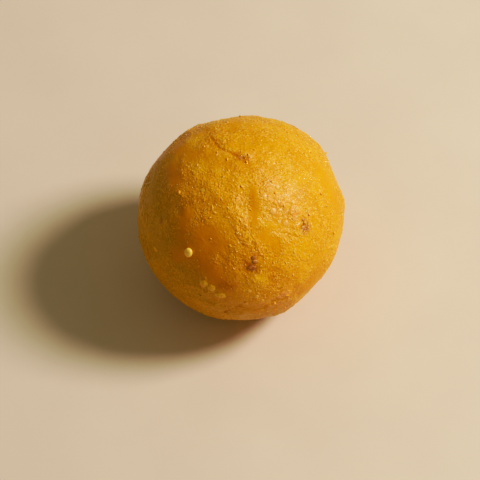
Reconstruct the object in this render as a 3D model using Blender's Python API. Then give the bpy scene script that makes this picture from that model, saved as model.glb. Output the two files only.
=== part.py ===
# A ladoo: one ball of fine gram-flour boondi bound with ghee and syrup, pressed round between two palms.
# It stands on the small flat spot that it was set down on. Metres, +Z up, the front faces -Y.
# The origin is on the ground under the middle of the ball.
import math
import random

import bmesh
import bpy
from mathutils import Matrix, Vector, noise

MM = 0.001

# Driving sizes
BALL_RADIUS = 28.2 * MM  # of the round that the palms then flatten
SQUAT = 0.96  # height over width, as the soft ball settles under its own weight
SEAT_DROP = 25.95 * MM  # from the middle of the ball down to its flat spot
PEARL_RADIUS = 1.2 * MM  # one whole pearl of boondi
RAISIN_RADIUS = 1.35 * MM  # a chopped piece of raisin

# Fineness of the mesh
GRID = 24  # cells along each of the four quarters round the ball
CRACK_REACHES = (3.0 * MM, 1.7 * MM)  # the cells are halved this near a crack, then halved again

# Slow unevenness of the mass, and the crumb of pressed pearls on top of it
LUMP_HEIGHT = 0.26 * MM
LUMP_SPACING = 11 * MM
LUMP_PLACE = Vector((3.1, 0.4, 7.7))  # picks the stretch of noise that the lumps follow
CRUMB_HEIGHT = 0.20 * MM
CRUMB_SPACING = 3.4 * MM
CALM_BELOW = -0.97  # sine of the depth below which the flat spot has no unevenness
CALM_FADE = 0.12  # over which the unevenness comes back, going up

# Palm flats: (bearing, height above the waist, how deep the palm pressed in mm). Angles are in degrees.
PALM_FLATS = [
    (110, 14, 0.80),
    (83, -5, 1.05),
    (67, -15, 1.10),
    (51, -23, 1.35),
    (-166, 33, 1.00),
    (-130, 20, 0.60),
    (4, -38, 0.45),
    (-62, 22, 0.55),
    (42, 52, 0.60),
    (-152, -14, 0.70),
    (150, -30, 0.75),
    (-100, -30, 0.55),
]
PALM_SOFTNESS = 0.38 * MM  # rounding where a flat runs into the ball
PALM_SPAN = 0.3  # cosine of how far round from its middle a palm can press
SEAT_SOFTENED = 0.30 * MM  # the mass bulges this far past the flat spot before it is cut level

# Strokes of a finger: (from, to, half width in mm, rise in mm). A fall is a groove or a dent.
STROKES = [
    ((2, 71), (8, 56), 2.4, -0.45),
    ((-60, 44), (-68, 40), 3.2, -0.45),
    ((-52, 66), (-4, 53), 2.4, 0.30),
    ((-4, 53), (11, 37), 2.2, 0.30),
    ((30, 63), (48, 50), 4.5, 0.35),
    ((96, 5), (101, 7), 3.0, 0.20),
    ((128, 21), (142, 30), 9.0, 0.50),
    ((-30, 2), (8, -4), 3.0, -0.35),
    ((-72, 18), (-80, 2), 3.0, -0.30),
    ((135, 6), (158, -6), 3.4, -0.55),
    ((-165, 12), (-150, 22), 3.0, 0.45),
    ((-120, -4), (-138, -16), 2.6, -0.45),
    ((95, -28), (118, -24), 3.2, -0.40),
]

# Cracks: the places that one runs through, half width in mm, depth in mm, and the rise of the lip on its left
CRACKS = [
    ([(-139, 46), (-144, 57), (-136, 66), (-130, 75), (-138, 83), (105, 88)], 0.95, 0.38, 0.40),
    ([(-9, -10), (-5, -5), (0, 0)], 0.90, 0.25, 0.12),
    ([(128, -8), (140, -2), (149, 8), (163, 12)], 1.00, 0.45, 0.32),
    ([(-128, -22), (-116, -17), (-107, -20)], 0.95, 0.35, 0.20),
]
LIP_WIDTH = 5.0 * MM
CRACK_WANDER = 0.40 * MM
WANDER_SPACING = 4.0 * MM

# Pearls that show: (bearing, height, size against a whole pearl, share of the pearl that stands out)
PEARLS = [
    (-35, 28, 1.02, 0.60),
    (-22, 13, 1.02, 0.42),
    (-17, 10, 0.92, 0.34),
    (-12, 7, 1.06, 0.40),
    (-55, 62, 1.05, 0.26),
    (4, 11, 0.90, 0.28),
    (8, 7, 0.85, 0.28),
    (11, 3, 0.90, 0.26),
    (-58, 12, 0.90, 0.24),
]
HIDDEN_PEARLS = 15  # more of them, on the sides that can't be seen from the front and above
SEEN_FROM = (0, 56)  # (bearing, height) of that view
TURNED_AWAY = -0.15  # cosine of the angle to that view, from which a side counts as hidden
HIDDEN_PEARL_RISE = 0.75  # sine of the most that one lies above or below the waist
HIDDEN_PEARL_SPACING = 8.0 * MM
HIDDEN_PEARL_SIZES = (0.80, 1.05)
HIDDEN_PEARL_STANDS_OUT = (0.14, 0.30)
PEARL_UNEVENNESS = 0.12
PEARL_SEED = 11

NUGGET_LUMPS = 1.3  # spacing of the lumps on a small piece, in its radii

# Raisin pieces, each in a small pit: (bearing, height, size against a whole piece)
RAISINS = [
    (49, 38, 0.85),
    (6, 28, 1.15),
    (110, 87, 0.70),
    (-66, 30, 0.80),
    (160, 28, 1.00),
    (-142, -2, 0.90),
    (100, -12, 0.80),
]
RAISIN_STANDS_OUT = 0.22  # share of its width
RAISIN_UNEVENNESS = 0.45
PIT_WIDTH = 2.4 * MM
PIT_DEPTH = 0.50 * MM


def clear_scene():
    for thing in list(bpy.data.objects):
        bpy.data.objects.remove(thing)


def food_material(name, colour, roughness):
    """A plain matt finish."""
    material = bpy.data.materials.new(name)
    material.use_nodes = True
    shader = material.node_tree.nodes["Principled BSDF"]
    shader.inputs["Base Color"].default_value = (*colour, 1.0)
    shader.inputs["Roughness"].default_value = roughness
    shader.inputs["Metallic"].default_value = 0.0
    return material


def toward(bearing, height):
    """The direction at a bearing, 0 at the front and growing to the right, and a height above the waist."""
    turn = math.radians(bearing)
    lift = math.radians(height)
    return Vector((math.sin(turn) * math.cos(lift), -math.cos(turn) * math.cos(lift), math.sin(lift)))


def reach(way):
    """How far the settled round stands out along a direction, to its tangent plane."""
    return BALL_RADIUS * math.hypot(math.hypot(way.x, way.y), SQUAT * way.z)


def pressed_round(way, planes):
    """Distance from the middle to the settled round, with each plane pressed softly into it."""
    across = math.hypot(way.x, way.y) / BALL_RADIUS
    upward = way.z / (BALL_RADIUS * SQUAT)
    nearest = [1 / math.hypot(across, upward)]
    for normal, distance in planes:
        facing = way.dot(normal)
        if facing > PALM_SPAN:
            nearest.append(distance / facing)
    least = min(nearest)
    blend = sum(math.exp((least - each) / PALM_SOFTNESS) for each in nearest)
    return least - PALM_SOFTNESS * math.log(blend)


def along_line(way, start, end):
    """(distance over the surface to the line between two directions, share of the line passed, side of it)."""
    line = end - start
    share = 0.0
    if line.length_squared > 0:
        share = max(0.0, min(1.0, (way - start).dot(line) / line.length_squared))
    nearest = (start + share * line).normalized()
    side = 1 if start.cross(end).dot(way) > 0 else -1
    return BALL_RADIUS * way.angle(nearest, 0.0), share, side


def bump(distance, half_width):
    """A smooth hill, 1 in the middle and 0 from the half width outwards."""
    inside = max(0.0, 1 - (distance / half_width) ** 2)
    return inside * inside


def stroke_rise(way):
    """What the finger strokes and the raisin pits add to the surface."""
    rise = 0.0
    for start, end, half_width, height in STROKES:
        distance, _, _ = along_line(way, toward(*start), toward(*end))
        rise += height * MM * bump(distance, half_width * MM)
    for bearing, height, size in RAISINS:
        distance = BALL_RADIUS * way.angle(toward(bearing, height), 0.0)
        rise -= PIT_DEPTH * bump(distance, PIT_WIDTH * size)
    return rise


def nearest_on_crack(way, places):
    """(distance, share of the whole crack passed) at the crack's nearest point. The left side is positive."""
    ways = [toward(*place) for place in places]
    runs = len(ways) - 1
    best = None
    for run in range(runs):
        distance, share, side = along_line(way, ways[run], ways[run + 1])
        if best is None or distance < best[0]:
            best = (distance, (run + share) / runs, side)
    wander = CRACK_WANDER * noise.noise(way * (BALL_RADIUS / WANDER_SPACING))
    distance, passed, side = best
    return side * distance + wander, passed


def crack_rise(way):
    """Each crack is a narrow groove that dies out at its ends, with one lip lifted over the other."""
    rise = 0.0
    for places, half_width, depth, lip in CRACKS:
        distance, passed = nearest_on_crack(way, places)
        strength = math.sqrt(max(0.0, math.sin(math.pi * passed)))
        lifted = min(1.0, max(0.0, distance / (half_width * MM)))
        rise += strength * lip * MM * lifted * bump(distance, LIP_WIDTH)
        rise -= strength * depth * MM * bump(distance, half_width * MM)
    return rise


def near_crack(way, distance):
    return any(abs(nearest_on_crack(way, places)[0]) < distance for places, _, _, _ in CRACKS)


def mass_rise(way):
    """Slow lumps, and the crumb of pearls that were pressed into the surface. The flat spot is calm."""
    place = way * BALL_RADIUS
    lumps = LUMP_HEIGHT * noise.noise(place / LUMP_SPACING + LUMP_PLACE)
    crumb = CRUMB_HEIGHT * noise.noise(place / CRUMB_SPACING)
    strength = min(1.0, max(0.0, (way.z - CALM_BELOW) / CALM_FADE))
    return strength * (lumps + crumb)


def even_direction(corner):
    """A point of a cube's gridded face as a direction, with the grid's cells kept alike in size."""
    return Vector([math.tan(part * math.pi / 4) for part in corner]).normalized()


def shape_ball(bm):
    """A gridded cube blown round, pressed, stroked and cracked, with finer cells along the cracks."""
    bmesh.ops.create_cube(bm, size=2)
    bmesh.ops.subdivide_edges(bm, edges=bm.edges[:], cuts=GRID - 1, use_grid_fill=True)
    for vertex in bm.verts:
        vertex.co = even_direction(vertex.co)
    for distance in CRACK_REACHES:
        cracked = [edge for edge in bm.edges if all(near_crack(end.co, distance) for end in edge.verts)]
        bmesh.ops.subdivide_edges(bm, edges=cracked, cuts=1, use_grid_fill=True)

    planes = []
    for bearing, height, depth in PALM_FLATS:
        normal = toward(bearing, height)
        planes.append((normal, reach(normal) - depth * MM))
    planes.append((Vector((0, 0, -1)), SEAT_DROP + SEAT_SOFTENED))
    for vertex in bm.verts:
        way = vertex.co.normalized()
        vertex.co = way * (pressed_round(way, planes) + stroke_rise(way) + crack_rise(way) + mass_rise(way))


def cut_flat_spot(bm):
    everything = bm.verts[:] + bm.edges[:] + bm.faces[:]
    level = Vector((0, 0, -SEAT_DROP))
    bmesh.ops.bisect_plane(bm, geom=everything, plane_co=level, plane_no=(0, 0, 1), clear_inner=True)
    rim = [edge for edge in bm.edges if edge.is_boundary]
    bmesh.ops.holes_fill(bm, edges=rim)
    bmesh.ops.recalc_face_normals(bm, faces=bm.faces[:])


def stand_on_ground(mesh):
    """Moves the ball so that its flat spot is on the ground and its middle, seen from above, on the origin."""
    low = [min(vertex.co[axis] for vertex in mesh.vertices) for axis in range(3)]
    high = [max(vertex.co[axis] for vertex in mesh.vertices) for axis in range(3)]
    shift = Vector((-(low[0] + high[0]) / 2, -(low[1] + high[1]) / 2, SEAT_DROP))
    mesh.transform(Matrix.Translation(shift))
    return shift


def make_ball(collection, material):
    bm = bmesh.new()
    shape_ball(bm)
    cut_flat_spot(bm)
    mesh = bpy.data.meshes.new("ladoo")
    bm.to_mesh(mesh)
    bm.free()
    middle = stand_on_ground(mesh)
    mesh.materials.append(material)
    ball = bpy.data.objects.new("ladoo", mesh)
    collection.objects.link(ball)
    return ball, middle


def surface_place(ball, middle, way):
    """The point of the ball's surface along a direction from its middle."""
    _, place, _, _ = ball.ray_cast(middle + way * 2 * BALL_RADIUS, -way)
    return place


def make_nugget(collection, name, centre, radius, unevenness, material):
    """A small rounded piece. A pearl is nearly round, and a chopped raisin isn't."""
    bpy.ops.mesh.primitive_ico_sphere_add(subdivisions=2, radius=radius, location=centre)
    nugget = bpy.context.active_object
    nugget.name = name
    for vertex in nugget.data.vertices:
        place = (vertex.co + centre) / (NUGGET_LUMPS * radius)
        vertex.co *= 1 + unevenness * noise.noise(place)
    nugget.data.materials.append(material)
    for holder in list(nugget.users_collection):
        holder.objects.unlink(nugget)
    collection.objects.link(nugget)
    return nugget


def hidden_pearl_ways():
    """Directions spread over the far sides by a seeded draw that keeps a spacing. The flat spot has none."""
    draw = random.Random(PEARL_SEED)
    ways = []
    while len(ways) < HIDDEN_PEARLS:
        rise = draw.uniform(-HIDDEN_PEARL_RISE, HIDDEN_PEARL_RISE)
        way = toward(draw.uniform(0, 360), math.degrees(math.asin(rise)))
        hidden = way.dot(toward(*SEEN_FROM)) < TURNED_AWAY
        if hidden and all(BALL_RADIUS * way.angle(other) > HIDDEN_PEARL_SPACING for other in ways):
            ways.append(way)
    return ways


def make_pearls(collection, ball, middle, material):
    draw = random.Random(PEARL_SEED)
    pearls = [(toward(bearing, height), size, out) for bearing, height, size, out in PEARLS]
    for way in hidden_pearl_ways():
        pearls.append((way, draw.uniform(*HIDDEN_PEARL_SIZES), draw.uniform(*HIDDEN_PEARL_STANDS_OUT)))
    for count, (way, size, out) in enumerate(pearls):
        radius = PEARL_RADIUS * size
        centre = surface_place(ball, middle, way) + way * radius * (2 * out - 1)
        make_nugget(collection, f"pearl_{count}", centre, radius, PEARL_UNEVENNESS, material)


def make_raisins(collection, ball, middle, material):
    for count, (bearing, height, size) in enumerate(RAISINS):
        way = toward(bearing, height)
        radius = RAISIN_RADIUS * size
        centre = surface_place(ball, middle, way) + way * radius * (2 * RAISIN_STANDS_OUT - 1)
        make_nugget(collection, f"raisin_{count}", centre, radius, RAISIN_UNEVENNESS, material)


def fuse(ball, collection):
    """Joins the pearls and raisins to the ball as one solid, then removes the loose ones."""
    union = ball.modifiers.new("fused pieces", "BOOLEAN")
    union.operation = "UNION"
    union.operand_type = "COLLECTION"
    union.collection = collection
    union.solver = "EXACT"
    union.material_mode = "TRANSFER"
    graph = bpy.context.evaluated_depsgraph_get()
    joined = bpy.data.meshes.new_from_object(ball.evaluated_get(graph))
    ball.modifiers.remove(union)
    ball.data = joined
    for piece in list(collection.objects):
        bpy.data.objects.remove(piece)
    bpy.data.collections.remove(collection)


def main():
    clear_scene()
    ladoo = bpy.data.collections.new("ladoo")
    loose = bpy.data.collections.new("loose pieces")
    bpy.context.scene.collection.children.link(ladoo)
    bpy.context.scene.collection.children.link(loose)
    gram = food_material("gram sweet", (0.72, 0.36, 0.03), 0.55)
    pearl = food_material("boondi pearl", (0.82, 0.55, 0.10), 0.40)
    raisin = food_material("raisin", (0.22, 0.07, 0.02), 0.45)

    ball, middle = make_ball(ladoo, gram)
    make_pearls(loose, ball, middle, pearl)
    make_raisins(loose, ball, middle, raisin)
    fuse(ball, loose)
    ball.data.shade_smooth()
    ball.data.set_sharp_from_angle(angle=math.radians(40))


main()
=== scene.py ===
import math
import random

import bpy
import numpy as np
from mathutils import Euler, Matrix, Quaternion, Vector, noise


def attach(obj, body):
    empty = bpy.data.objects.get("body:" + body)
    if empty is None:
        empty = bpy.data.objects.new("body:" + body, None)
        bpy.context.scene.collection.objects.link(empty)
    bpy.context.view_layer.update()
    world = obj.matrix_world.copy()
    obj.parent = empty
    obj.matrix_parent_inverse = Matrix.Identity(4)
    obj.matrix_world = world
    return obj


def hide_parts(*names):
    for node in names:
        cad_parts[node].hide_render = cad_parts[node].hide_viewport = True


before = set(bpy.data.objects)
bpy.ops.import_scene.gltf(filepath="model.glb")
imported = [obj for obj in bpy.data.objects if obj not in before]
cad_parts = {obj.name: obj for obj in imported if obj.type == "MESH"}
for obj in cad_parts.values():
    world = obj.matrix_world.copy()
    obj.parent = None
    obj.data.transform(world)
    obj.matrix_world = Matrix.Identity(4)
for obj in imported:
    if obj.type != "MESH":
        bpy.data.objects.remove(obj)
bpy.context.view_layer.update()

# The ball of the sweet
# Fried pearls of gram batter, bound with syrup and ghee, are pressed round between two palms while warm.
# Their flattened crumb is the skin, under a thin film of ghee. The ball rests on a small flat spot.
MM = 0.001
BALL_MIDDLE = Vector((0.20, -0.05, 25.95)) * MM
START_RADIUS = 31 * MM  # of the round blank, which lies just outside the pressed form
MEAN_RADIUS = 27.8 * MM

# Where things are on the ball: (bearing, height) in degrees, 0 at the front and growing to the right
LOOSE_PEARL = (-34.8, 28.5)
SUNK_PEARLS = [
    # (place, width in mm, how far it stands out in mm, how far its top is rubbed pale and given a painted
    # highlight)
    ((-21.7, 12.6), 3.2, 0.44, 0.1),
    ((-17.0, 11.0), 3.0, 0.32, 0.0),
    ((-12.0, 7.2), 4.0, 0.48, 0.1),
    ((-54, 62), 2.4, 0.14, 0.2),
    ((4, 11.5), 1.6, 0.16, 0.5),
    ((8, 7), 1.8, 0.16, 0.5),
    ((11, 3), 1.6, 0.14, 0.5),
    ((-58, 12), 2.4, 0.12, 0.1),
    ((120, 84.6), 1.4, 0.28, 1.0),
]
FAR_PEARLS = [
    (-158, -4), (-176, -28), (109, -38), (-69, -38), (-138, 13), (87, -28), (167, -45), (-122, 0),
    (100, -4), (75, -49), (-133, -40), (161, 5), (-97, -28), (142, -26), (-144, -23),
]
RAISINS = [
    # (place, width in mm, turn from the right in degrees, how far it stands out in mm, how pale it is)
    ((6, 26.6), 3.3, -8, 0.26, 0.2),
    ((49, 36.6), 2.4, 5, 0.18, 0.75),
    ((-160, 88.5), 1.8, -25, 0.04, 0.9),
    ((160, 28), 2.4, 50, 0.20, 0.2),
    ((-142, -2), 2.2, 120, 0.16, 0.5),
    ((100, -12), 2.0, 0, 0.12, 0.3),
]

# Stretches of skin: (from, to, half width in mm)
ROUGH_SKIN = [
    ((38, 64), (48, 50), 6.5),
    ((-6, 66), (4, 46), 2.4),
    ((-4, 52), (10, 38), 2.4),
    ((58, 62), (70, 70), 3.4),
    ((110, 84), (70, 78), 3.0),
    ((10, -6), (24, 2), 3.2),
    ((-100, 22), (-62, -2), 5.0),
    ((-168, 36), (-150, 20), 6.0),
    ((128, -14), (150, -18), 5.0),
    ((-104, -6), (-92, -22), 4.5),
    ((92, 20), (100, 4), 3.2),
]
SMOOTH_SKIN = [
    ((20, 71), (12, 53), 1.9),
    ((18, 44), (24, 36), 2.6),
    ((100, 40), (84, 28), 4.2),
    ((-21, 44), (-31, 42), 4.2),
    ((-30, 36), (-42, 22), 3.8),
    ((-98, 46), (-84, 50), 3.0),
    ((-120, 44), (-104, 60), 3.4),
    ((-50, 46), (-44, 34), 3.0),
    ((-24, 28), (-14, 18), 3.6),
    ((-14, 40), (-24, 34), 3.0),
    ((40, -4), (46, 3), 4.2),
    ((-172, 62), (-176, 44), 2.4),
    ((120, 10), (112, -4), 3.0),
    ((-120, 34), (-112, 20), 3.0),
]
RIDGES = [
    ((-7, 52), (-3, 46), 0.7),
    ((-3, 46), (8, 37), 0.7),
    ((7, 72), (3, 53), 0.9),
    ((12, 77), (-5, 67), 0.6),
    ((93, 75), (41, 72), 0.6),
    ((-101, 54), (-77, 63), 0.6),
    ((-45, 59), (-37, 58), 0.5),
    ((-37, 58), (-23, 54), 0.5),
    ((-147.4, 58.3), (-136.5, 62.2), 0.5),
    ((-5, -6), (0, -1), 0.4),
    ((112, 68), (128, 52), 0.6),
    ((136, 50), (152, 38), 0.7),
    ((-130, 14), (-118, 4), 0.7),
    ((84, -20), (96, -30), 0.6),
]
CRUMBY_SKIN = [
    ((0, 42), (12, 20), 5.2),
    ((20, 30), (36, 22), 4.0),
    ((-30, 66), (-12, 58), 3.0),
    ((104, 66), (80, 48), 5.0),
    ((134, 62), (112, 50), 4.0),
    ((-64, 0), (-28, -20), 4.5),
    ((-152, 40), (-130, 12), 6.0),
    ((112, 34), (132, 8), 5.0),
    ((-100, -14), (-84, -30), 4.0),
    ((-160, -12), (176, -20), 5.0),
]
DRY_SKIN = [
    ((8, 19), (1, 9), 5.0),
    ((-126, 52), (-104, 46), 5.0),
    ((-110, 52), (-84, 66), 3.0),
    ((150, 40), (172, 26), 4.0),
]
STAINS = [
    ((-64, 29.4), (-64, 29.4), 1.5),
    ((-10, 15), (-6, 14), 2.4),
    ((1.6, 31.6), (5.2, 29.2), 0.7),
    ((0.8, 29.0), (4.1, 25.9), 0.8),
    ((-142, 85.3), (68, 87.1), 1.9),
    ((49.2, 37.8), (49, 36.6), 2.2),
    ((142, 34), (150, 30), 2.2),
    ((96, -2), (104, -6), 2.6),
    ((-150, -20), (-142, -24), 2.8),
]
CRACKS = [
    ((-142, 59), (-137, 64.6), 0.28),
    ((-137, 64.6), (-130, 73), 0.36),
    ((-130, 73), (-130, 79), 0.48),
    ((-130, 79), (-131, 84), 0.55),
    ((-131, 84), (-142, 87.5), 0.50),
    ((-9, -10), (0, 0), 0.45),
    ((128, -8), (149, 8), 0.55),
    ((149, 8), (163, 12), 0.50),
    ((-128, -22), (-107, -20), 0.50),
]
WIDE_CRACKS = [
    # where the solid has them wider than the real ones are
    ((-144, 57), (-136, 66), 3.4),
    ((-136, 66), (-130, 75), 3.4),
    ((-130, 75), (105, 88), 3.4),
    ((-9, -10), (0, 0), 3.0),
    ((128, -8), (149, 8), 2.0),
    ((149, 8), (163, 12), 2.0),
    ((-128, -22), (-107, -20), 2.0),
]
WANDER = 0.5 * MM  # how far the edges of a stretch stray
WANDER_SPACING = 1.8 * MM
LEAST_WEIGHT = 0.001  # a vertex below this is left out of its group


def toward(bearing, height):
    """The direction at a bearing and a height above the waist."""
    turn = math.radians(bearing)
    lift = math.radians(height)
    return Vector((math.sin(turn) * math.cos(lift), -math.cos(turn) * math.cos(lift), math.sin(lift)))


def places_of(mesh):
    places = np.empty(len(mesh.vertices) * 3, np.float32)
    mesh.vertices.foreach_get("co", places)
    return places.reshape(-1, 3).astype(float)


def normals_of(mesh):
    normals = np.empty(len(mesh.vertices) * 3, np.float32)
    mesh.vertex_normals.foreach_get("vector", normals)
    return normals.reshape(-1, 3).astype(float)


def nearness(mesh, strokes):
    """For each vertex, 1 on a stroke and down to 0 at its half width. The edges wander."""
    places = places_of(mesh)
    wander = [noise.noise_vector(Vector(place) / WANDER_SPACING) for place in places]
    ways = places + WANDER * np.array(wander) - np.array(BALL_MIDDLE)
    ways /= np.linalg.norm(ways, axis=1)[:, None]
    near = np.zeros(len(ways))
    for start, end, half_width in strokes:
        first = np.array(toward(*start))
        line = np.array(toward(*end)) - first
        share = np.clip((ways - first) @ line / max(line @ line, 1e-9), 0, 1)
        gap = MEAN_RADIUS * np.linalg.norm(ways - (first + share[:, None] * line), axis=1)
        near = np.maximum(near, np.clip(1 - (gap / (half_width * MM)) ** 2, 0, 1) ** 2)
    return near


def weigh(piece, name, weights):
    """A vertex group with these weights."""
    group = piece.vertex_groups.new(name=name)
    for index in np.nonzero(weights > LEAST_WEIGHT)[0]:
        group.add([int(index)], float(weights[index]), "REPLACE")


def apply_modifier(piece, kind, **settings):
    modifier = piece.modifiers.new(kind.lower(), kind)
    for setting, value in settings.items():
        setattr(modifier, setting, value)
    bpy.context.view_layer.objects.active = piece
    bpy.ops.object.modifier_apply(modifier=modifier.name)


# The pressed form: a round blank drawn onto a copy of the solid, with the fused bits smoothed away
BLANK_LEVELS = 6
UNDER_PEARL = 2.6  # half width in mm of the place that is smoothed under a pearl
UNDER_RAISIN = 2.2
ROUNDS_UNDER_BITS = 40
ROUNDS_ALL_OVER = 3

bpy.ops.object.select_all(action="DESELECT")
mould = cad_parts["ladoo"].copy()
mould.data = mould.data.copy()
bpy.context.scene.collection.objects.link(mould)
mould.select_set(True)
bpy.context.view_layer.objects.active = mould
bpy.ops.object.mode_set(mode="EDIT")
bpy.ops.mesh.select_all(action="SELECT")
bpy.ops.mesh.remove_doubles(threshold=0.001 * MM)
bpy.ops.object.mode_set(mode="OBJECT")

bpy.ops.object.select_all(action="DESELECT")
bpy.ops.mesh.primitive_cube_add(size=2 * START_RADIUS, location=BALL_MIDDLE)
mass = bpy.context.active_object
mass.name = "gram_mass"
apply_modifier(mass, "SUBSURF", levels=BLANK_LEVELS, render_levels=BLANK_LEVELS)
apply_modifier(mass, "CAST", cast_type="SPHERE", factor=1, size=START_RADIUS, use_radius_as_size=False)
bpy.ops.object.transform_apply(location=True, rotation=True, scale=True)
apply_modifier(
    mass,
    "SHRINKWRAP",
    target=mould,
    wrap_method="PROJECT",
    use_positive_direction=False,
    use_negative_direction=True,
)
bpy.data.objects.remove(mould)
pearl_places = [LOOSE_PEARL, *[pearl[0] for pearl in SUNK_PEARLS], *FAR_PEARLS]
bits = [(bit_place, bit_place, UNDER_PEARL) for bit_place in pearl_places]
bits += [(raisin[0], raisin[0], UNDER_RAISIN) for raisin in RAISINS]
weigh(mass, "under bits", np.sqrt(nearness(mass.data, bits + WIDE_CRACKS)))
apply_modifier(mass, "SMOOTH", factor=0.5, iterations=ROUNDS_UNDER_BITS, vertex_group="under bits")
apply_modifier(mass, "SMOOTH", factor=0.5, iterations=ROUNDS_ALL_OVER)
apply_modifier(mass, "SUBSURF", levels=1, render_levels=1)

# The skin: domes of pressed pearls, crumb, rough and smooth stretches, ridges, cracks and raisin pits
PEARL_SPACING = 2.4 * MM
RELIEFS = [
    # (pattern, spacing, height, where, the level of the pattern that leaves the skin where it is)
    ("CLOUDS", 5.0 * MM, 0.42 * MM, "pressed", 0.5),
    ("VORONOI", PEARL_SPACING, -0.09 * MM, "pressed", 0.3),
    ("CLOUDS", 0.95 * MM, 0.20 * MM, "crisp skin", 0.5),
    ("VORONOI", 2.1 * MM, -0.38 * MM, "rough skin", 0.25),
    ("CLOUDS", 0.62 * MM, 0.52 * MM, "rough skin", 0.5),
    ("CLOUDS", 1.0 * MM, 0.30 * MM, "ridges", 0.3),
]
CRACK_DEPTH = 0.22 * MM
PIT_DEPTH = 0.24 * MM
PIT_SHARE = 0.8  # the half width of a raisin's pit over the raisin's width
FULL_RELIEF_HEIGHT = 3 * MM  # above the floor. Below it the relief fades out
MARKED_RELIEF = 0.35 * MM  # counts as 1 in the material
CRISP_SPACING = 4.5 * MM
CRISP_MIDDLE = 0.78
CRISP_RANGE = 0.9
LEAST_CRISP = 0.45
CRUMBY_CRISP = 0.8
WIPED_CRISP = 0.85  # the share that a finger wiped away in the smooth stretches
WIPED_DOMES = 0.8

calm_places = places_of(mass.data)
calm_normals = normals_of(mass.data)
off_ground = np.clip(calm_places[:, 2] / FULL_RELIEF_HEIGHT, 0, 1) ** 2
rough = nearness(mass.data, ROUGH_SKIN)
smooth = nearness(mass.data, SMOOTH_SKIN)
ridged = nearness(mass.data, RIDGES)
crumby = nearness(mass.data, CRUMBY_SKIN)
cracked = nearness(mass.data, CRACKS)
pitted = nearness(mass.data, [(raisin[0], raisin[0], PIT_SHARE * raisin[1]) for raisin in RAISINS])
stained = nearness(mass.data, [(raisin[0], raisin[0], raisin[1]) for raisin in RAISINS])
soaked = nearness(mass.data, STAINS)
dry = nearness(mass.data, DRY_SKIN)
uneven = np.array([noise.noise(Vector(place) / CRISP_SPACING) for place in calm_places])
crisp = np.clip(CRISP_MIDDLE + CRISP_RANGE * uneven, LEAST_CRISP, 1)
crisp = np.maximum(crisp, np.maximum(rough, CRUMBY_CRISP * crumby))
crisp = crisp * (1 - WIPED_CRISP * smooth)
weigh(mass, "pressed", off_ground * (1 - WIPED_DOMES * smooth))
weigh(mass, "crisp skin", off_ground * crisp)
weigh(mass, "rough skin", off_ground * rough * (1 - smooth))
weigh(mass, "ridges", ridged)
weigh(mass, "cracks", cracked)
weigh(mass, "pits", pitted)
for kind, spacing, height, where, level in RELIEFS:
    texture = bpy.data.textures.new(f"{mass.name} {kind.lower()}", kind)
    texture.noise_scale = spacing
    if kind == "CLOUDS":
        texture.noise_depth = 1
    else:
        texture.distance_metric = "DISTANCE_SQUARED"
    apply_modifier(
        mass,
        "DISPLACE",
        texture=texture,
        texture_coords="LOCAL",
        strength=height,
        mid_level=level,
        vertex_group=where,
    )
apply_modifier(mass, "DISPLACE", strength=-CRACK_DEPTH, mid_level=0, vertex_group="cracks")
apply_modifier(mass, "DISPLACE", strength=-PIT_DEPTH, mid_level=0, vertex_group="pits")

mass.vertex_groups.clear()
relief = ((places_of(mass.data) - calm_places) * calm_normals).sum(axis=1) / MARKED_RELIEF
marks = {"relief": relief, "rough": rough, "smooth": smooth, "crisp": crisp, "dry": dry}
marks.update({"cracked": cracked, "stained": stained, "soaked": soaked})
for name, values in marks.items():
    mass.data.attributes.new(name, "FLOAT", "POINT").data.foreach_set("value", values.astype(np.float32))
bpy.ops.object.shade_smooth()

GRAM_GOLD = (0.82, 0.346, 0.002)
GRAM_DEEP = (0.71, 0.272, 0.001)
GRAM_SYRUP = (0.78, 0.292, 0.001)
# painted shade: darker and more olive, for the side away from the window
GRAM_PAINTED_SHADE = (0.53, 0.268, 0.001)
GRAM_DRY = (0.88, 0.42, 0.003)
GRAM_PALE = (0.88, 0.412, 0.006)
GRAM_CREAM = (0.99, 0.445, 0.070)
# cream flecks under the painted shade on the side away from the window
CREAM_IN_PAINTED_SHADE = (0.80, 0.420, 0.020)
# painted highlight: pink on the crests of the rough stretches
GRAM_PAINTED_HIGHLIGHT = (0.98, 0.375, 0.11)
FRIED_BROWN = (0.36, 0.115, 0.008)
# brown of the stains, and painted shade along the cracks
STAIN_AND_CRACK_SHADE_BROWN = (0.50, 0.155, 0.004)
# Painted shade ramps up along the way from the window: none beyond the first distance, full below the
# second
TOWARD_WINDOW = (0.7, 0, 0.7)
UNSHADED_FROM = 23 * MM  # from the origin, that way
FULL_SHADE_BELOW = 13 * MM
NUB_SPACING = 0.9 * MM
NUB_HEIGHT = 0.20 * MM
GRAIN_SPACING = 0.50 * MM
GRAIN_HEIGHT = 0.26 * MM


def add_node(tree, kind, inputs=(), **settings):
    """A shader node with its settings, and its inputs set to values or linked to other outputs."""
    node = tree.nodes.new(kind)
    for setting, value in settings.items():
        setattr(node, setting, value)
    for name, value in dict(inputs).items():
        if isinstance(value, bpy.types.NodeSocket):
            tree.links.new(value, node.inputs[name])
        else:
            node.inputs[name].default_value = value
    return node


def new_material(name):
    """(material, its node tree, its Principled shader, the place on the piece)"""
    material = bpy.data.materials.new(name)
    material.use_nodes = True
    tree = material.node_tree
    place = add_node(tree, "ShaderNodeTexCoord").outputs["Object"]
    return material, tree, tree.nodes["Principled BSDF"], place


def speckle(tree, place, spacing, detail=2.0, roughness=0.5):
    """Soft noise with lumps this far apart, 0 to 1."""
    inputs = {"Vector": place, "Scale": 1 / spacing, "Detail": detail, "Roughness": roughness}
    return add_node(tree, "ShaderNodeTexNoise", inputs).outputs["Fac"]


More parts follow.
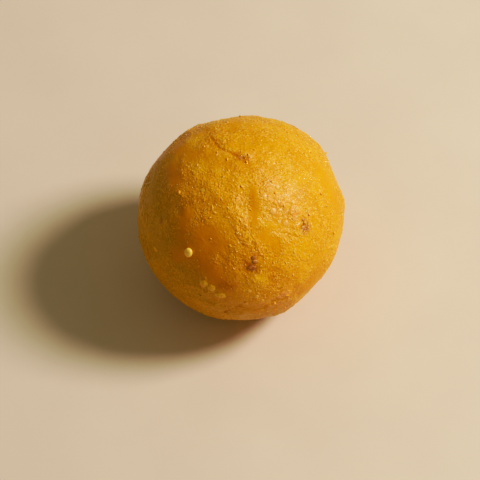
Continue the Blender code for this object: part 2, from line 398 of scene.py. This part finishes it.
def blend_colours(tree, factor, first, second):
    """The first colour at a factor of 0 and the second at 1. Each is a tuple or an output."""
    node = add_node(tree, "ShaderNodeMix", data_type="RGBA")
    for socket, value in ((node.inputs[0], factor), (node.inputs[6], first), (node.inputs[7], second)):
        if isinstance(value, bpy.types.NodeSocket):
            tree.links.new(value, socket)
        else:
            socket.default_value = (*value, 1) if isinstance(value, tuple) else value
    return node.outputs[2]


def stretch(tree, value, low, high, to_low=0.0, to_high=1.0):
    """The value, with low to high spread over the new range and held there."""
    inputs = {"Value": value, "From Min": low, "From Max": high, "To Min": to_low, "To Max": to_high}
    return add_node(tree, "ShaderNodeMapRange", inputs).outputs["Result"]


def attribute(tree, name):
    return add_node(tree, "ShaderNodeAttribute", attribute_name=name).outputs["Fac"]


def painted_shade_side(tree, place):
    """0 on the upper right, which faces the window, up to 1 at the lower left, away from it: how much
    painted shade is laid on.
    """
    inputs = {0: place, 1: TOWARD_WINDOW}
    height = add_node(tree, "ShaderNodeVectorMath", inputs, operation="DOT_PRODUCT").outputs["Value"]
    return stretch(tree, height, UNSHADED_FROM, FULL_SHADE_BELOW)


def multiply(tree, first, second):
    return add_node(tree, "ShaderNodeMath", {0: first, 1: second}, operation="MULTIPLY").outputs[0]


gram, tree, shader, place = new_material("pressed gram")
broad = speckle(tree, place, 8 * MM, 2)
mottle = speckle(tree, place, 2.8 * MM, 3, 0.55)
fleck = speckle(tree, place, 1.05 * MM, 2, 0.6)
grain = speckle(tree, place, GRAIN_SPACING, 1)
cell_inputs = {"Vector": place, "Scale": 1 / PEARL_SPACING}
pearl_cell = add_node(tree, "ShaderNodeTexVoronoi", cell_inputs, feature="F1").outputs["Color"]
cell_tint = add_node(tree, "ShaderNodeSeparateColor", {"Color": pearl_cell}).outputs["Red"]
relief_here = attribute(tree, "relief")
crisp_here = attribute(tree, "crisp")
shade_share = painted_shade_side(tree, place)
# The cream flecks turn more olive in the painted shade on the side away from the window
cream = blend_colours(tree, shade_share, GRAM_CREAM, CREAM_IN_PAINTED_SHADE)
# Painted highlight: pink on the crests of the rough stretches, on the side toward the window only
painted_highlight = blend_colours(tree, shade_share, GRAM_PAINTED_HIGHLIGHT, CREAM_IN_PAINTED_SHADE)
highlight_share = multiply(tree, stretch(tree, relief_here, 0.0, 0.4, 0.0, 0.85), attribute(tree, "rough"))
stain_share = multiply(tree, attribute(tree, "stained"), stretch(tree, grain, 0.37, 0.55, 0.25, 1.0))
layers = [
    # (how much of it shows, its colour), from the lowest up
    (stretch(tree, cell_tint, 0.5, 1.0, 0.0, 0.3), GRAM_PALE),
    (stretch(tree, mottle, 0.48, 0.68, 0.0, 0.6), GRAM_DEEP),
    (multiply(tree, attribute(tree, "dry"), 0.8), GRAM_DRY),
    # painted shade, darker and more olive on the side away from the window
    (multiply(tree, shade_share, 0.8), GRAM_PAINTED_SHADE),
    # Paler on the crests of the relief, deeper in its hollows: painted light and shade
    (stretch(tree, relief_here, 0.1, 0.8, 0.0, 0.5), GRAM_PALE),
    (stretch(tree, relief_here, -0.2, -0.9, 0.0, 0.5), GRAM_DEEP),
    (multiply(tree, stretch(tree, fleck, 0.52, 0.66, 0.0, 0.5), crisp_here), cream),
    (multiply(tree, stretch(tree, fleck, 0.46, 0.34, 0.0, 0.2), crisp_here), GRAM_DEEP),
    (multiply(tree, stretch(tree, grain, 0.53, 0.66, 0.0, 0.75), crisp_here), cream),
    (highlight_share, painted_highlight),
    (multiply(tree, attribute(tree, "smooth"), 0.6), GRAM_SYRUP),
    (multiply(tree, attribute(tree, "soaked"), 0.65), STAIN_AND_CRACK_SHADE_BROWN),
    # painted shade: darker brown along the cracks
    (multiply(tree, attribute(tree, "cracked"), 0.6), STAIN_AND_CRACK_SHADE_BROWN),
    (stain_share, FRIED_BROWN),
]
colour = blend_colours(tree, stretch(tree, broad, 0.38, 0.62), GRAM_DEEP, GRAM_GOLD)
for share, tone in layers:
    colour = blend_colours(tree, share, colour, tone)
tree.links.new(colour, shader.inputs["Base Color"])
tree.links.new(stretch(tree, grain, 0.35, 0.65, 0.44, 0.26), shader.inputs["Roughness"])
shader.inputs["Subsurface Weight"].default_value = 0.15
shader.inputs["Subsurface Radius"].default_value = (1.0, 0.35, 0.06)
shader.inputs["Subsurface Scale"].default_value = 0.6 * MM
shader.inputs["Specular IOR Level"].default_value = 0.26
nub_inputs = {"Vector": place, "Scale": 1 / NUB_SPACING}
nubs = add_node(tree, "ShaderNodeTexVoronoi", nub_inputs, feature="SMOOTH_F1")
nub_height = stretch(tree, nubs.outputs["Distance"], 0.0, 0.7, 1.0, 0.0)
nub_share = multiply(tree, crisp_here, 0.45)
nub_bump = {"Height": nub_height, "Strength": nub_share, "Distance": NUB_HEIGHT}
nub_normal = add_node(tree, "ShaderNodeBump", nub_bump).outputs["Normal"]
bump = {"Height": grain, "Strength": crisp_here, "Distance": GRAIN_HEIGHT, "Normal": nub_normal}
tree.links.new(add_node(tree, "ShaderNodeBump", bump).outputs["Normal"], shader.inputs["Normal"])
mass.data.materials.append(gram)
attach(mass, "root")
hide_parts("ladoo")


# The whole pearls
# Drops of gram batter, fried and soaked in syrup, that stayed whole when the ball was pressed.
# One is loose on the skin, with a dimpled top. The rest are squashed nearly flush with the skin.
# In the rough stretches they lie close together, with their tops rubbed pale and a pink painted highlight
# on the side toward the window.
PEARL_SEED = 4
NARROWEST = 0.86  # the breadth of the narrowest bit over its length
LOOSE_WIDTH = 2.65 * MM
LOOSE_FLATNESS = 0.62
LOOSE_LUMPS = 1.0 * MM
LOOSE_UNEVENNESS = 0.16 * MM
LOOSE_TURN = 80
LOOSE_OUT = 0.75 * MM
DIMPLE_DEPTH = 0.11 * MM
DIMPLE_REACH = 1.15 * MM
SUNK_LUMPS = 0.9 * MM
SUNK_UNEVENNESS = 0.18  # over its width
SUNK_FLATNESS = 0.36  # of one that is level with the skin
FULLER_BY_OUT = 0.6  # for each mm that it stands out
FAR_WIDTHS = (1.8, 3.0)  # in mm
FAR_OUT = (0.10, 0.24)
FAR_RUBBED_AND_HIGHLIGHT = 0.2
RUBBED_PEARLS = [
    # (place, radius in mm, count) of the stretches whose pearls have their tops rubbed pale, with a
    # painted highlight
    ((44, 57), 6.2, 17),
    ((-160, 28), 6.0, 12),
    ((140, -16), 4.5, 7),
]
RUBBED_GAP = 2.1  # in mm, between middles
RUBBED_WIDTHS = (1.5, 2.5)
RUBBED_OUT = (0.04, 0.15)
RUBBED_FLATNESS = 0.4
RUBBED_LUMPS = 0.6 * MM
RUBBED_UNEVENNESS = 0.42 * MM
RUBBED_AND_HIGHLIGHT_SHARES = (0.6, 1)


def on_skin(way):
    """The point of the skin in that direction from the middle of the ball."""
    _, point, _, _ = mass.ray_cast(BALL_MIDDLE + way * START_RADIUS, -way)
    return point


def join_pieces(pieces, name):
    """One object of these, with their places and turns in its mesh."""
    bpy.ops.object.select_all(action="DESELECT")
    for piece in pieces:
        piece.select_set(True)
    bpy.context.view_layer.objects.active = pieces[0]
    bpy.ops.object.transform_apply(location=True, rotation=True, scale=True)
    bpy.ops.object.join()
    joined = bpy.context.active_object
    joined.name = name
    bpy.ops.object.shade_smooth()
    return joined


def add_nugget(radius, flatness, spacing, unevenness, pattern="SOFT_NOISE"):
    """An uneven round bit with its middle in its own origin, flattened upright."""
    bpy.ops.object.select_all(action="DESELECT")
    bpy.ops.mesh.primitive_ico_sphere_add(subdivisions=4, radius=radius)
    nugget = bpy.context.active_object
    # Where it lies for now picks its part of the noise
    nugget.location = (draw.uniform(0, 1), draw.uniform(0, 1), draw.uniform(0, 1))
    nugget.scale = (1, draw.uniform(NARROWEST, 1), flatness)
    lumps = bpy.data.textures.new("nugget lumps", "CLOUDS")
    lumps.noise_scale = spacing
    lumps.noise_type = pattern
    apply_modifier(
        nugget, "DISPLACE", texture=lumps, texture_coords="GLOBAL", strength=unevenness, mid_level=0.5
    )
    bpy.ops.object.transform_apply(location=False, rotation=False, scale=True)
    return nugget


def frame_on_skin(way, turn):
    """(along, across, outward) there, with along this far anticlockwise from the right."""
    along = Vector((1, 0, 0)) - way.x * way
    along.normalize()
    along.rotate(Quaternion(way, math.radians(turn)))
    return along, way.cross(along), way


def stand_on_skin(nugget, way, turn, out):
    """Turns its top outward there, with the top this far out of the skin."""
    top = max(vertex.co.z for vertex in nugget.data.vertices)
    nugget.rotation_euler = Matrix(frame_on_skin(way, turn)).transposed().to_euler()
    nugget.location = on_skin(way) + way * (out - top)


def mark_all(piece, name, value):
    """One value on every vertex, for the material to read."""
    values = np.full(len(piece.data.vertices), value, np.float32)
    piece.data.attributes.new(name, "FLOAT", "POINT").data.foreach_set("value", values)


draw = random.Random(PEARL_SEED)
loose_pearl = add_nugget(LOOSE_WIDTH / 2, LOOSE_FLATNESS, LOOSE_LUMPS, LOOSE_UNEVENNESS)
bpy.ops.object.mode_set(mode="EDIT")
bpy.ops.mesh.select_all(action="DESELECT")
bpy.ops.object.mode_set(mode="OBJECT")
max(loose_pearl.data.vertices, key=lambda vertex: vertex.co.z).select = True
bpy.ops.object.mode_set(mode="EDIT")
bpy.ops.transform.translate(
    value=(0, 0, -DIMPLE_DEPTH),
    use_proportional_edit=True,
    proportional_size=DIMPLE_REACH,
    proportional_edit_falloff="SMOOTH",
)
bpy.ops.object.mode_set(mode="OBJECT")
stand_on_skin(loose_pearl, toward(*LOOSE_PEARL), LOOSE_TURN, LOOSE_OUT)
mark_all(loose_pearl, "loose", 1)
mark_all(loose_pearl, "rubbed_and_highlight", 0)
pearls = [loose_pearl]
far_pearls = [
    (pearl_place, draw.uniform(*FAR_WIDTHS), draw.uniform(*FAR_OUT), FAR_RUBBED_AND_HIGHLIGHT)
    for pearl_place in FAR_PEARLS
]
for pearl_place, width, out, top_rubbed_and_highlight in SUNK_PEARLS + far_pearls:
    flatness = SUNK_FLATNESS + FULLER_BY_OUT * out
    pearl = add_nugget(width * MM / 2, flatness, SUNK_LUMPS, SUNK_UNEVENNESS * width * MM)
    stand_on_skin(pearl, toward(*pearl_place), draw.uniform(0, 360), out * MM)
    mark_all(pearl, "loose", 0)
    mark_all(pearl, "rubbed_and_highlight", top_rubbed_and_highlight)
    pearls.append(pearl)
for middle, reach, count in RUBBED_PEARLS:
    along, across, outward = frame_on_skin(toward(*middle), 0)
    spots = []
    while len(spots) < count:
        spot = Vector((draw.uniform(-reach, reach), draw.uniform(-reach, reach)))
        if spot.length < reach and all((spot - other).length > RUBBED_GAP for other in spots):
            spots.append(spot)
    for spot in spots:
        way = (outward + (along * spot.x + across * spot.y) * MM / MEAN_RADIUS).normalized()
        width = draw.uniform(*RUBBED_WIDTHS)
        pearl = add_nugget(width * MM / 2, RUBBED_FLATNESS, RUBBED_LUMPS, RUBBED_UNEVENNESS)
        stand_on_skin(pearl, way, draw.uniform(0, 360), draw.uniform(*RUBBED_OUT) * MM)
        mark_all(pearl, "loose", 0)
        mark_all(pearl, "rubbed_and_highlight", draw.uniform(*RUBBED_AND_HIGHLIGHT_SHARES))
        pearls.append(pearl)
pearl_piece = join_pieces(pearls, "boondi_pearls")

PEARL_CREAM = (0.96, 0.62, 0.140)
PEARL_YELLOW = (0.93, 0.53, 0.050)
PEARL_AMBER = (0.88, 0.46, 0.025)
PEARL_SOAKED = (0.78, 0.410, 0.020)
# painted highlight: pink on the rubbed pearls on the side toward the window
PEARL_PAINTED_HIGHLIGHT = (0.96, 0.39, 0.12)

syrup_pearl, tree, shader, place = new_material("syrup pearl")
mottle = speckle(tree, place, 0.9 * MM, 2, 0.6)
loose_skin = blend_colours(tree, stretch(tree, mottle, 0.4, 0.6), PEARL_YELLOW, PEARL_CREAM)
sunk_skin = blend_colours(tree, stretch(tree, mottle, 0.4, 0.6, 0.0, 0.8), PEARL_SOAKED, PEARL_AMBER)
# Rubbed tops: pink painted highlight toward the window, pale yellow in the painted shade away from it
pale_top_and_highlight_skin = blend_colours(tree, painted_shade_side(tree, place), PEARL_PAINTED_HIGHLIGHT, PEARL_YELLOW)
rubbed_and_highlight_share = multiply(tree, attribute(tree, "rubbed_and_highlight"), 0.8)
sunk_skin = blend_colours(tree, rubbed_and_highlight_share, sunk_skin, pale_top_and_highlight_skin)
colour = blend_colours(tree, attribute(tree, "loose"), sunk_skin, loose_skin)
tree.links.new(colour, shader.inputs["Base Color"])
tree.links.new(stretch(tree, mottle, 0.35, 0.65, 0.34, 0.50), shader.inputs["Roughness"])
shader.inputs["Subsurface Weight"].default_value = 0.35
shader.inputs["Subsurface Radius"].default_value = (1.0, 0.45, 0.08)
shader.inputs["Subsurface Scale"].default_value = 0.8 * MM
bump = {"Height": speckle(tree, place, 0.5 * MM, 1), "Strength": 0.7, "Distance": 0.18 * MM}
tree.links.new(add_node(tree, "ShaderNodeBump", bump).outputs["Normal"], shader.inputs["Normal"])
pearl_piece.data.materials.append(syrup_pearl)
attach(pearl_piece, "root")


# The raisin bits
# Chopped raisin that was stirred into the warm mass. Pressing left torn ends level with the skin.
# Each place has a wrinkled, sticky, red-brown body, a small scrap beside it and a paler shred between.
RAISIN_SEED = 7
RAISIN_PARTS = [
    # (along, across, length, breadth) as shares of the width, and how much paler
    (0, 0, 1.0, 0.78, 0.0),
    (0.02, 0.94, 0.46, 0.42, 0.0),
    (0.20, 0.62, 0.52, 0.36, 0.6),
]
RAISIN_FLATNESS = 0.35
WRINKLE_SPACING = 0.5 * MM
WRINKLE_HEIGHT = 0.30  # over its radius

draw = random.Random(RAISIN_SEED)
shreds = []
for raisin_place, width, turn, out, pale in RAISINS:
    along, across, outward = frame_on_skin(toward(*raisin_place), turn)
    radius = width * MM / 2
    for along_share, across_share, length, breadth, paler in RAISIN_PARTS:
        shred = add_nugget(radius, RAISIN_FLATNESS, WRINKLE_SPACING, WRINKLE_HEIGHT * radius, "HARD_NOISE")
        shred.scale = (length, breadth, math.sqrt(length * breadth))
        bpy.ops.object.transform_apply(location=False, rotation=False, scale=True)
        away = (along * along_share + across * across_share) * width * MM / MEAN_RADIUS
        stand_on_skin(shred, (outward + away).normalized(), turn, out * MM)
        mark_all(shred, "pale", min(pale + paler, 1))
        shreds.append(shred)
raisin_piece = join_pieces(shreds, "raisin_bits")

RAISIN_RED = (0.44, 0.140, 0.018)
RAISIN_DARK = (0.23, 0.065, 0.006)
RAISIN_TAN = (0.66, 0.30, 0.08)
RAISIN_BROWN = (0.48, 0.18, 0.03)

raisin_skin, tree, shader, place = new_material("raisin skin")
mottle = speckle(tree, place, 0.6 * MM, 2, 0.65)
dark_skin = blend_colours(tree, stretch(tree, mottle, 0.36, 0.52), RAISIN_DARK, RAISIN_RED)
# Pale tan spots on the dark bodies: painted highlights
dark_skin = blend_colours(tree, stretch(tree, mottle, 0.56, 0.68, 0.0, 0.6), dark_skin, RAISIN_TAN)
pale_skin = blend_colours(tree, stretch(tree, mottle, 0.38, 0.52), RAISIN_BROWN, RAISIN_TAN)
colour = blend_colours(tree, attribute(tree, "pale"), dark_skin, pale_skin)
tree.links.new(colour, shader.inputs["Base Color"])
tree.links.new(stretch(tree, mottle, 0.4, 0.6, 0.50, 0.36), shader.inputs["Roughness"])
shader.inputs["Subsurface Weight"].default_value = 0.2
shader.inputs["Subsurface Radius"].default_value = (1.0, 0.3, 0.1)
shader.inputs["Subsurface Scale"].default_value = 0.4 * MM
bump = {"Height": speckle(tree, place, 0.35 * MM, 1), "Strength": 0.6, "Distance": 0.14 * MM}
tree.links.new(add_node(tree, "ShaderNodeBump", bump).outputs["Normal"], shader.inputs["Normal"])
raisin_piece.data.materials.append(raisin_skin)
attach(raisin_piece, "root")


# The loose crumb
# Bits of broken pearl, from under half a millimetre to over one, that the palms pressed into the skin.
# They lie thickest where the skin is rough, and hardly at all where a finger wiped it smooth.
CRUMB_COUNT = 2400
CRUMB_SEED = 21
CRUMB_WIDTHS = (0.42 * MM, 1.25 * MM)
CRUMB_FLATNESS = 0.5
CRUMB_TILT = 0.35
CRUMB_SUNK = 0.19  # how far its middle is under the skin, over its width
CRUMB_LUMPS = 0.8  # over its radius, as the next one
CRUMB_UNEVENNESS = 0.9
LENGTHS = (1.0, 1.6)  # over the width of a scattered bit
BREADTHS = (0.5, 0.85)
MORE_SMALL_ONES = 0.6  # below 1, narrow bits are commoner than wide ones


def scatter(name, template, chance, count, widths, flatness, tilt, sunk, seed):
    """One mesh of many small copies of a shape, each with its own width, turn and tilt."""
    draw = np.random.default_rng(seed)
    spots = draw.choice(len(chance), count, replace=False, p=chance / chance.sum())
    centres = places_of(mass.data)[spots]
    outward = normals_of(mass.data)[spots]
    shape = places_of(template.data)
    faces = np.array([face.vertices[:] for face in template.data.polygons])
    vertices = []
    for centre, normal in zip(centres, outward):
        width = widths[0] + (widths[1] - widths[0]) * draw.power(MORE_SMALL_ONES)
        proportions = np.array([draw.uniform(*LENGTHS), draw.uniform(*BREADTHS), flatness]) * width / 2
        lean = Euler((draw.normal(0, tilt), draw.normal(0, tilt), draw.uniform(0, math.tau))).to_matrix()
        turn = np.array(Vector(normal).to_track_quat("Z", "Y").to_matrix() @ lean)
        vertices.append(shape * proportions @ turn.T + centre - normal * sunk * width)
    steps = len(shape) * np.arange(count)
    mesh = bpy.data.meshes.new(name)
    mesh.from_pydata(np.concatenate(vertices), [], (faces[None] + steps[:, None, None]).reshape(-1, 3))
    piece = bpy.data.objects.new(name, mesh)
    bpy.context.scene.collection.objects.link(piece)
    bpy.data.objects.remove(template)
    return piece


bpy.ops.object.select_all(action="DESELECT")
bpy.ops.mesh.primitive_ico_sphere_add(subdivisions=2, radius=1)
crumb = bpy.context.active_object
lumps = bpy.data.textures.new("crumb lumps", "CLOUDS")
lumps.noise_scale = CRUMB_LUMPS
apply_modifier(crumb, "DISPLACE", texture=lumps, strength=CRUMB_UNEVENNESS, mid_level=0.5)
crumb_chance = 0.15 + 0.4 * crisp + rough + 0.5 * crumby + 1.2 * ridged
crumb_chance *= off_ground * (1 - 0.96 * smooth) * (1 - pitted) * (1 - cracked)
crumb_piece = scatter(
    "gram_crumb",
    crumb,
    crumb_chance,
    CRUMB_COUNT,
    CRUMB_WIDTHS,
    CRUMB_FLATNESS,
    CRUMB_TILT,
    CRUMB_SUNK,
    CRUMB_SEED,
)
bpy.context.view_layer.objects.active = crumb_piece
crumb_piece.select_set(True)
bpy.ops.object.shade_smooth()

CRUMB_PALE = (1.0, 0.47, 0.100)
CRUMB_GOLD = (0.90, 0.40, 0.018)
# painted shade for the side away from the window
CRUMB_PAINTED_SHADE = (0.68, 0.370, 0.010)

crumb_skin, tree, shader, place = new_material("gram crumb")
mottle = speckle(tree, place, 1.1 * MM, 2)
colour = blend_colours(tree, stretch(tree, mottle, 0.4, 0.6), CRUMB_GOLD, CRUMB_PALE)
# Painted shade: darker and more olive on the side away from the window
colour = blend_colours(tree, multiply(tree, painted_shade_side(tree, place), 0.75), colour, CRUMB_PAINTED_SHADE)
tree.links.new(colour, shader.inputs["Base Color"])
tree.links.new(stretch(tree, mottle, 0.35, 0.65, 0.28, 0.44), shader.inputs["Roughness"])
shader.inputs["Specular IOR Level"].default_value = 0.34
shader.inputs["Subsurface Weight"].default_value = 0.15
shader.inputs["Subsurface Radius"].default_value = (1.0, 0.35, 0.06)
shader.inputs["Subsurface Scale"].default_value = 0.4 * MM
bump = {"Height": speckle(tree, place, 0.4 * MM, 1), "Strength": 0.6, "Distance": 0.15 * MM}
tree.links.new(add_node(tree, "ShaderNodeBump", bump).outputs["Normal"], shader.inputs["Normal"])
crumb_piece.data.materials.append(crumb_skin)
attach(crumb_piece, "root")


# The sugar grains
# Syrup that dried all over the skin to thin golden chips of a quarter to half a millimetre.
# Their flat sides catch the light of the window as bright specks.
GRAIN_COUNT = 8000
GRAIN_SEED = 33
GRAIN_WIDTHS = (0.24 * MM, 0.50 * MM)
GRAIN_FLATNESS = 0.4
GRAIN_TILT = 0.45
GRAIN_SUNK = 0.08

bpy.ops.object.select_all(action="DESELECT")
bpy.ops.mesh.primitive_ico_sphere_add(subdivisions=1, radius=1)
chip = bpy.context.active_object
chip_chance = 0.45 + 0.8 * crisp + 0.8 * rough + 0.4 * crumby + ridged
chip_chance *= off_ground * (1 - 0.95 * smooth)
chip_piece = scatter(
    "sugar_grains",
    chip,
    chip_chance,
    GRAIN_COUNT,
    GRAIN_WIDTHS,
    GRAIN_FLATNESS,
    GRAIN_TILT,
    GRAIN_SUNK,
    GRAIN_SEED,
)

GRAIN_GOLD = (1.0, 0.57, 0.20)
GRAIN_AMBER = (0.95, 0.46, 0.04)
# painted shade for the side away from the window
GRAIN_PAINTED_SHADE = (0.74, 0.405, 0.015)

sugar, tree, shader, place = new_material("dried syrup")
tint = stretch(tree, speckle(tree, place, 0.8 * MM, 1), 0.4, 0.6)
colour = blend_colours(tree, tint, GRAIN_AMBER, GRAIN_GOLD)
# Painted shade: darker and more olive on the side away from the window
colour = blend_colours(tree, multiply(tree, painted_shade_side(tree, place), 0.75), colour, GRAIN_PAINTED_SHADE)
tree.links.new(colour, shader.inputs["Base Color"])
gloss = speckle(tree, place, 0.5 * MM, 1)
tree.links.new(stretch(tree, gloss, 0.35, 0.65, 0.12, 0.24), shader.inputs["Roughness"])
chip_piece.data.materials.append(sugar)
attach(chip_piece, "root")


# The floor
# A plain pale surface under the sweet.
FLOOR_SIZE = 4
FLOOR_CREAM = (0.81, 0.635, 0.470)
FLOOR_SHADE = (0.78, 0.608, 0.450)

bpy.ops.object.select_all(action="DESELECT")
bpy.ops.mesh.primitive_plane_add(size=FLOOR_SIZE)
floor = bpy.context.active_object
floor.name = "floor"
cream_floor, tree, shader, place = new_material("cream floor")
clouding = stretch(tree, speckle(tree, place, 30 * MM, 3), 0.35, 0.65)
tree.links.new(blend_colours(tree, clouding, FLOOR_SHADE, FLOOR_CREAM), shader.inputs["Base Color"])
shader.inputs["Roughness"].default_value = 0.9
floor.data.materials.append(cream_floor)


# The light
# One window to the right and above, and the soft light of the room from all round.
# A weak low lamp at the back left picks out the grain at the left edge.
SOFTBOXES = [
    # (name, direction from the ball, width, watts, colour)
    ("window", (0.70, 0.06, 0.71), 0.28, 9.7, (1, 0.99, 0.95)),
    ("far_lamp", (-0.90, 0.42, 0.14), 0.08, 0.22, (1, 0.99, 0.90)),
]
LIGHT_DISTANCE = 0.9
ROOM_COLOUR = (0.98, 0.99, 0.70, 1)
ROOM_STRENGTH = 0.31

for name, direction, size, power, light_colour in SOFTBOXES:
    light_place = BALL_MIDDLE + Vector(direction).normalized() * LIGHT_DISTANCE
    bpy.ops.object.light_add(type="AREA", location=light_place)
    light = bpy.context.active_object
    light.name = name
    light.data.shape = "DISK"
    light.data.size = size
    light.data.energy = power
    light.data.color = light_colour
    light.rotation_euler = (BALL_MIDDLE - light.location).to_track_quat("-Z", "Y").to_euler()
world = bpy.data.worlds.new("room")
bpy.context.scene.world = world
world.use_nodes = True
world.node_tree.nodes["Background"].inputs["Color"].default_value = ROOM_COLOUR
world.node_tree.nodes["Background"].inputs["Strength"].default_value = ROOM_STRENGTH


# The camera
# It looks down at the front of the sweet, as the photograph does.
CAMERA_HEIGHT = math.radians(56)
CAMERA_DISTANCE = 1500 * MM
FRAME_PIXELS = 480
SCALE = 3710  # pixels to a metre at the middle of the ball
MIDDLE_PIXEL = (241.8, 217.6)  # where the middle of the ball is in the picture
SENSOR_WIDTH = 36
CLIP_START = 0.01

back = Vector((0, -math.cos(CAMERA_HEIGHT), math.sin(CAMERA_HEIGHT)))
up = Vector((0, math.sin(CAMERA_HEIGHT), math.cos(CAMERA_HEIGHT)))
right = Vector((1, 0, 0))
aim = BALL_MIDDLE
aim = aim - right * (MIDDLE_PIXEL[0] - FRAME_PIXELS / 2) / SCALE
aim = aim + up * (MIDDLE_PIXEL[1] - FRAME_PIXELS / 2) / SCALE
bpy.ops.object.camera_add(location=aim + back * CAMERA_DISTANCE)
camera = bpy.context.active_object
camera.name = "camera"
camera.rotation_euler = (-back).to_track_quat("-Z", "Y").to_euler()
camera.data.sensor_width = SENSOR_WIDTH
camera.data.lens = SENSOR_WIDTH * SCALE * CAMERA_DISTANCE / FRAME_PIXELS
camera.data.clip_start = CLIP_START
bpy.context.scene.camera = camera


# The tones of the picture
# Soft in the dark, steep in the middle and rounded off in the light, with little blue in the dark.
TONES = [(0.13, 0.066), (0.47, 0.38), (1.15, 0.80)]
BLUE_TONES = [(0.010, 0.0025), (0.028, 0.022), (0.06, 0.06)]
WHITE = 2.0
BLUE_CURVE = 2
ALL_COLOURS_CURVE = 3

view = bpy.context.scene.view_settings
view.view_transform = "Standard"
view.use_curve_mapping = True
view.curve_mapping.white_level = (WHITE, WHITE, WHITE)
for light_in, light_out in TONES:
    view.curve_mapping.curves[ALL_COLOURS_CURVE].points.new(light_in / WHITE, light_out)
for light_in, light_out in BLUE_TONES:
    view.curve_mapping.curves[BLUE_CURVE].points.new(light_in, light_out)
view.curve_mapping.update()
